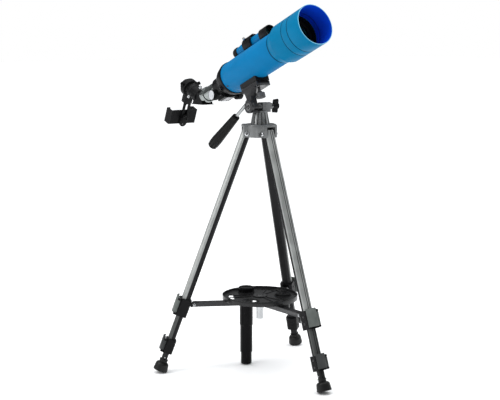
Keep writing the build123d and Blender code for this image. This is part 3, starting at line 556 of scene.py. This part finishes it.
def finder_paint():
    """Finder barrel: blue middle, black front and rear ends."""
    m = Mat("finder_blue_black")
    station = m.along(AIM, FINDER)
    cloud = m.noise(30, 3)
    body = m.mix(m.remap(cloud, 0.35, 0.65, 0, 1), scaled(BLUE, 0.92), scaled(BLUE, 1.06))
    blue_part = m.band(station, FINDER_BLUE[0] * MM, FINDER_BLUE[1] * MM)
    tone = m.mix(blue_part, BLACK, body)
    tone = m.mix(m.math("MULTIPLY", m.convex_edges(), 0.2), tone, (0.09, 0.1, 0.11))
    rough = m.remap(cloud, 0.3, 0.7, 0.3, 0.42)
    return m.done(tone, rough, m.bump(m.noise(700, 2), 0.15, 0.0001), level=0.08)


finder_mat = finder_paint()


def paint(node, mat):
    obj = NODES[node]
    obj.data.materials.clear()
    obj.data.materials.append(mat)
    weld = obj.modifiers.new("weld", "WELD")
    weld.merge_threshold = 2e-6
    bevel = obj.modifiers.new("soft_edges", "BEVEL")
    bevel.width = 0.35 * MM
    bevel.segments = 2
    bevel.limit_method = "ANGLE"
    bevel.angle_limit = math.radians(38)
    bevel.harden_normals = False
    bevel.miter_outer = "MITER_ARC"


PAINTS = {
    "tripod_shoulder": shoulder_grey, "leg_pivot_bolts": chrome, "pan_lock_collar": collar_grey,
    "tray_hub": chrome, "accessory_tray": tray_black,
    "erecting_lens": black_gloss, "spare_eyepiece": black_fine,
    "pan_base": bracket_grey, "tilt_lock_knob": black_fine, "tilt_bracket": tilt_grey,
    "mount_screw": wheel_grey, "handle_rod": chrome_rod, "handle_grip": grip_rubber,
    "tube_saddle": black_fine,
    "main_tube": tube_blue, "objective_cell": cell_blue, "dew_shield": shield_blue,
    "objective_lens": lens_glass, "lens_retainer": matt_inside, "focuser_body": black_fine,
    "drawtube": chrome_tube, "focus_shaft": steel, "focus_knobs": black_fine, "finder_scope": finder_mat,
    "finder_bracket": black_fine, "diagonal_housing": black, "erecting_prism": prism_glass,
    "eyepiece": black_fine, "phone_ring": black, "ring_screws": black_fine, "phone_clamp": black,
    "phone_jaw": black,
}
# section, colour of its lighter outer half (the inner half is painted shade), depth of the tube
SECTIONS = (
    ("upper", (0.34, 0.35, 0.342), 20),
    ("middle", (0.075, 0.078, 0.076), 16.4),
    ("lower", (0.022, 0.022, 0.022), 13.2),
)
for k in range(LEGS):
    number = k + 1
    for section, light, depth in SECTIONS:
        PAINTS[f"leg_{number}_{section}_tube"] = leg_metal(f"leg_{number}_{section}_metal", k, light, depth)
    for section, lever in (("upper", lever_grey), ("lower", lever_dark)):
        PAINTS[f"leg_{number}_{section}_clamp"] = black_fine
        PAINTS[f"leg_{number}_{section}_lever"] = lever
    PAINTS[f"leg_{number}_foot"] = rubber
    PAINTS[f"brace_arm_{number}"] = black_metal
for node, mat in PAINTS.items():
    paint(node, mat)

# --- details on the stand ------------------------------------------------------------------

BRACE_T = 414.5
FOOT_PIN_T = 555
FOOT_WAIST_T = 564
LOWER_HALF_WIDTH = 7.55
HINGE_HALF_WIDTH = 20.7
for k in range(LEGS):
    leg = f"leg_{k + 1}"
    down, outward, side = leg_axes(k)
    # name, body, start and end along the leg, depth, width
    clamps = (("upper", leg, 408, 450, 28, 31), ("lower", f"{leg}_middle", 509, 543, 24.4, 27.4))
    for name, body, start, end, depth, width in clamps:
        middle = (start + end) / 2
        places = [(leg_point(k, middle + off, 1.0, width / 2), side) for off in (-8, 8)]
        screws(f"{leg}_{name}_clamp_screws", places, 2.5, 1.3, black_metal, body)
        pin = (depth / 2 + 1.5, -width / 2 + 1.5)
        pins = [(leg_point(k, start + 1, *pin), -down), (leg_point(k, end - 1, *pin), down)]
        screws(f"{leg}_{name}_hinge_pin", pins, 1.7, 0.7, chrome, body, "hex")
        ribs = [(leg_point(k, start + 5 + 8 * i, -depth / 2 + 0.2, 0), -outward, side, (width - 16, 2.4, 1.0))
                for i in range(1, 4 if name == "upper" else 3)]
        blocks(f"{leg}_{name}_clamp_ribs", ribs, black_fine, body, 0.35)
    pivot = leg_point(k, BRACE_T, -22)
    screws(f"{leg}_brace_rivets", [(pivot + side * 9.4 * MM, side), (pivot - side * 9.4 * MM, -side)],
           3.2, 1.5, chrome, leg, "hex")
    pins = [(leg_point(k, FOOT_PIN_T, 0, sign * LOWER_HALF_WIDTH), side * sign) for sign in (1, -1)]
    screws(f"{leg}_foot_pin", pins, 1.5, 0.8, chrome, f"{leg}_lower")
    hinge = leg_point(k, 0)
    heads = [(hinge + side * sign * HINGE_HALF_WIDTH * MM, side * sign) for sign in (1, -1)]
    screws(f"{leg}_hinge_bolt_heads", heads, 4.9, 1.0, chrome, "tripod", "hex")
    waist = leg_point(k, FOOT_WAIST_T)
    band(f"{leg}_foot_ring", 0, 2.2, 8.0, 9.3, waist, down, rubber, f"{leg}_lower")

# the tray's moulded centre: boss, slotted screw, spokes between the holes
TRAY_TOP = 175.8
HOLE_PITCH = 54
band("tray_boss", 176, 178.4, 8, 17, Vector(), UP, tray_black, "tray", edge=0.8)
screws("tray_centre_screw", [(UP * 177.4 * MM, UP)], 6.2, 2.2, black_metal, "tray", "slot")
spokes = []
for i in range(3):
    for offset in (-10, 10):
        turn = math.radians(120 * i + offset)
        ray = Vector((math.cos(turn), math.sin(turn), 0))
        spokes.append(((ray * 48 + UP * TRAY_TOP) * MM, UP, ray, (52, 2.0, 1.8)))
blocks("tray_spokes", spokes, tray_black, "tray", 0.4)
bm = bmesh.new()
for turn in (60, 180, 300):
    centre = on_circle(HOLE_PITCH, math.radians(turn), 0)
    rim = ring_profile(TRAY_TOP, TRAY_TOP + 1.4, 17.2, 20.4, 0.5)
    lathe_into(bm, rim, 48, Matrix.Translation(centre), closed=False)
publish("tray_hole_rims", bm, Matrix.Identity(4), black, "tray")

# head: washers on the tilt bolt, screw in the lock block, socket in the side cheek
band("tilt_knob_washer", 0, 1.2, 4.1, 7.4, TILT_POINT + ACROSS * 31.2 * MM, ACROSS, chrome, "pan_head")
screws("tilt_bolt_end", [(TILT_POINT - ACROSS * 36.2 * MM, -ACROSS)], 4.6, 1.4, black_metal, "tilt_lock",
       "hex")
band("tilt_bolt_washer", 0, 0.9, 5.4, 8.6, TILT_POINT - ACROSS * 34.0 * MM, -ACROSS, black_metal, "pan_head")
screws("lock_block_screw", [(TILT_POINT + Vector((-9, 12, -5)) * MM, Vector((-1, 0, 0)))], 2.4, 1.3, chrome,
       "pan_head", "hex")
screws("platform_screws", [(TILT_POINT + (AIM * x + RISE * 40.5 + ACROSS * y) * MM, -RISE)
                           for x in (-22, 24) for y in (-12, 12)], 2.2, 1.1, steel, "cradle")
band("handle_collar", 0, 5, 3.9, 6.2, HANDLE_START + HANDLE_AWAY * 15 * MM, HANDLE_AWAY, black_metal,
     "cradle", edge=0.8)
lathe("grip_end_cap", [(0, 11.2), (1.2, 11.4), (2.0, 10.6), (2.4, 8.8), (2.5, 3.0)],
      HANDLE_START + HANDLE_AWAY * 195.6 * MM, HANDLE_AWAY, black_fine, "grip", 60)

# --- details on the optical tube -----------------------------------------------------------

places = []
for turn in (-112, 8, 128):
    angle = math.radians(turn)
    toward = RISE * math.cos(angle) - ACROSS * math.sin(angle)
    places.append((tube_point(-1) + toward * TUBE_R * MM, toward))
screws("focuser_ring_screws", places, 2.4, 1.2, black_metal, "cradle")

for end, sign in (("near", -1), ("far", 1)):
    lathe(
        f"focus_disc_{end}",
        [(-0.5, 11.0), (0.05, 11.0), (0.3, 10.6), (0.32, 9.8), (0.18, 9.4), (0.22, 4.0), (0.3, 1.0)],
        tube_point(-54, -25.6, sign * 43.0), ACROSS * sign, disc_silver, "focus", 64,
    )

# focuser: plate under the pinion, its four screws, the drawtube lock screw
blocks("pinion_plate", [(tube_point(-55, -36.3), -RISE, AIM, (28, 17, 1.4))], steel, "cradle", 0.4)
screws("pinion_plate_screws", [(tube_point(-55 + x, -37.6, y), -RISE)
                               for x in (-10, 10) for y in (-5.5, 5.5)], 1.7, 0.9, chrome, "cradle")
band("drawtube_felt", -0.8, 0.0, 17.1, 21.2, tube_point(-72), AIM, foam, "cradle", edge=0.2)


def knurl(count, depth):
    """Ripple for the rim of a turned shape."""
    return lambda angle, z, r: r + depth * math.cos(count * angle) if r > 3.0 else r


def thumbscrew(name, origin, axis, body, stem, r):
    """Knurled chrome head on a thin stem."""
    profile = [(0, 1.4), (stem, 1.4), (stem, 2.6), (stem + 0.6, r - 0.3), (stem + 1.2, r), (stem + 5.4, r),
               (stem + 6, r - 0.5), (stem + 6.1, 1.4), (stem + 5.6, 1.2)]
    return lathe(name, profile, origin, axis, chrome, body, 96, knurl(24, 0.14))


lock_axis = (RISE * 0.80 - ACROSS * 0.60).normalized()
thumbscrew("drawtube_set_screw", tube_point(-128) + lock_axis * 19.2 * MM, lock_axis, "draw", 3.0, 3.8)
side_axis = (DOWN * 0.35 - ACROSS * 0.94).normalized()
thumbscrew("eyepiece_set_screw", eye_point(27) + side_axis * 17.9 * MM, side_axis, "diagonal", 2.4, 3.2)
band("eyepiece_socket_ring", 0, 3.2, 18.0, 18.8, eye_point(34.5), EYE, black_fine, "diagonal")
band("nose_step", 0, 1.6, 15.2, 17.2, VERTEX + AIM * 14.2 * MM, AIM, black_fine, "diagonal")

# eyepiece: rubber ribs, eye cup and eye lens
bm = bmesh.new()
for i in range(5):
    lathe_into(bm, ring_profile(51.5 + 2.2 * i, 52.7 + 2.2 * i, 14.2, 15.5, 0.3), 72, closed=False)
publish("eyepiece_ribs", bm, frame_matrix(VERTEX, EYE), rubber, "eye")
lathe("eye_lens", [(74.8, 6.4), (75.3, 6.2), (75.9, 4.6), (76.2, 2.4), (76.3, 0.6)],
      VERTEX, EYE, lens_glass, "eye", 48)
band("eye_cup_lip", 78.4, 79.3, 13.4, 16.1, VERTEX, EYE, rubber, "eye", edge=0.5)

# finder: lenses, front ring, knurled eyecup ring, chromed adjusting screws
lathe("finder_front_lens", [(118.8, 13.4), (120.0, 12.4), (121.1, 9.0), (121.7, 5.0), (121.9, 1.0)],
      FINDER, AIM, lens_glass, "cradle", 56)
band("finder_front_ring", 119, 121.6, 12.0, 13.8, FINDER, AIM, matt_inside, "cradle", edge=0.5)
lathe("finder_eye_lens", [(7.6, 7.4), (8.2, 7.2), (8.7, 5.0), (8.9, 1.0)], FINDER, -AIM, lens_glass, "cradle",
      48)
band("finder_focus_ring", -3, 6, 11.8, 13.0, FINDER, AIM, black_fine, "cradle", 120, 0.5,
     knurl(40, 0.18))
HEAD_PROFILE = [(0, 2.8), (0.5, 3.5), (3.6, 3.5), (4.1, 3.1), (4.2, 1.2)]
for index, turn in enumerate((-80, 0, 80)):
    angle = math.radians(turn)
    toward = FINDER_OUT * math.cos(angle) + FINDER_SIDE * math.sin(angle)
    start = FINDER + (AIM * 58 + toward * 22.4) * MM
    lathe(f"finder_screw_head_{index}", HEAD_PROFILE, start, toward, chrome, "cradle", 80,
          knurl(20, 0.12))

# phone holder: soft pads on the jaws, washer under the clamp's knob, nut on the ring's stem
blocks("phone_pad_fixed", [(eye_point(70.5, 79, 31.9), -ACROSS, EYE, (13, 32, 1.0))], foam, "phone_clamp",
       0.4)
blocks("phone_pad_moving", [(eye_point(72, 79, -36.6), ACROSS, EYE, (11, 32, 1.0))], foam, "phone_jaw",
       0.4)
blocks("phone_pad_back", [(eye_point(61.9, 79, y), EYE, ACROSS, (9, 30, 0.4)) for y in (4, 18)], foam,
       "phone_clamp", 0.15)
band("phone_knob_washer", 0, 0.8, 3.4, 7.4, eye_point(53.1, 79), EYE, chrome, "phone_clamp",
     edge=0.2)
screws("phone_knob_cap", [(eye_point(45.4, 79), -EYE)], 5.0, 1.2, black_fine, "phone_clamp",
       "hex")

# --- stage, lights, camera -------------------------------------------------------------------

FLOOR_HALF = 30
floor_mesh = bpy.data.meshes.new("floor")
bm = bmesh.new()
bmesh.ops.create_grid(bm, x_segments=1, y_segments=1, size=FLOOR_HALF)
bm.to_mesh(floor_mesh)
bm.free()
floor = bpy.data.objects.new("floor", floor_mesh)
bpy.context.scene.collection.objects.link(floor)
m = Mat("floor_pale")
floor_tone = m.mix(m.noise(3, 2), (0.95, 0.95, 0.95), (0.98, 0.98, 0.98))
floor_mesh.materials.append(m.done(floor_tone, 0.8, m.bump(m.noise(60, 2), 0.05, 0.001), level=0.0))

CAMERA = Vector((2.07098, -1.57196, 0.77667))
FORWARD = Vector((-0.79376, 0.59136, -0.14228))

world = bpy.data.worlds.new("studio")
bpy.context.scene.world = world
world.use_nodes = True
sky = world.node_tree
sky.nodes.clear()
path = sky.nodes.new("ShaderNodeLightPath")
direction = sky.nodes.new("ShaderNodeTexCoord")
split = sky.nodes.new("ShaderNodeSeparateXYZ")
sky.links.new(direction.outputs["Generated"], split.inputs[0])
height = sky.nodes.new("ShaderNodeMapRange")
for key, number in (("From Min", -0.1), ("From Max", 0.8), ("To Min", 0.22), ("To Max", 1.0)):
    height.inputs[key].default_value = number
sky.links.new(split.outputs["Z"], height.inputs["Value"])
ambient = sky.nodes.new("ShaderNodeBackground")
ambient.inputs["Color"].default_value = (0.96, 0.98, 1.0, 1)
# reflections see a dimmer room than the diffuse light does, so black parts stay black
dimmer = sky.nodes.new("ShaderNodeMapRange")
dimmer.inputs["To Min"].default_value = 1.0
dimmer.inputs["To Max"].default_value = 0.4
sky.links.new(path.outputs["Is Glossy Ray"], dimmer.inputs["Value"])
room = sky.nodes.new("ShaderNodeMath")
room.operation = "MULTIPLY"
sky.links.new(height.outputs[0], room.inputs[0])
sky.links.new(dimmer.outputs[0], room.inputs[1])
sky.links.new(room.outputs[0], ambient.inputs["Strength"])
backdrop = sky.nodes.new("ShaderNodeBackground")
backdrop.inputs["Color"].default_value = (1, 1, 1, 1)
backdrop.inputs["Strength"].default_value = 1.0
choose = sky.nodes.new("ShaderNodeMixShader")
sky.links.new(path.outputs["Is Camera Ray"], choose.inputs[0])
sky.links.new(ambient.outputs[0], choose.inputs[1])
sky.links.new(backdrop.outputs[0], choose.inputs[2])
out = sky.nodes.new("ShaderNodeOutputWorld")
sky.links.new(choose.outputs[0], out.inputs["Surface"])


def softbox(name, position, aim, size, power, tall=None):
    data = bpy.data.lights.new(name, "AREA")
    data.energy = power
    data.shape = "RECTANGLE"
    data.size = size
    data.size_y = tall or size
    light = bpy.data.objects.new(name, data)
    light.location = position
    light.rotation_mode = "QUATERNION"
    light.rotation_quaternion = (Vector(aim) - Vector(position)).to_track_quat("-Z", "Y")
    bpy.context.scene.collection.objects.link(light)


CENTRE = Vector((0, 0, 0.45))
LEFT = Vector((-0.59744, -0.80192, 0))
TOWARD_CAMERA = Vector((0.80, -0.60, 0))
softbox("key", CENTRE + LEFT * 1.9 + TOWARD_CAMERA * 0.8 + UP * 1.2, CENTRE, 1.0, 26, 2.0)
softbox("top", CENTRE + UP * 2.3 - TOWARD_CAMERA * 0.2, CENTRE, 2.0, 14)
sun_data = bpy.data.lights.new("overhead", "SUN")
sun_data.energy = 1.05
sun_data.angle = 1.3
bpy.context.scene.collection.objects.link(bpy.data.objects.new("overhead", sun_data))
softbox("rim", CENTRE - LEFT * 1.9 - TOWARD_CAMERA * 0.6 + UP * 1.0, CENTRE, 0.6, 8, 1.6)

camera_data = bpy.data.cameras.new("camera")
camera_data.sensor_width = 36.0
camera_data.lens = 81.77
camera_data.clip_start = 0.05
camera_data.clip_end = 60
camera = bpy.data.objects.new("camera", camera_data)
camera.location = CAMERA
camera.rotation_mode = "QUATERNION"
camera.rotation_quaternion = FORWARD.to_track_quat("-Z", "Y")
bpy.context.scene.collection.objects.link(camera)
bpy.context.scene.camera = camera
bpy.context.scene.view_settings.view_transform = "Standard"
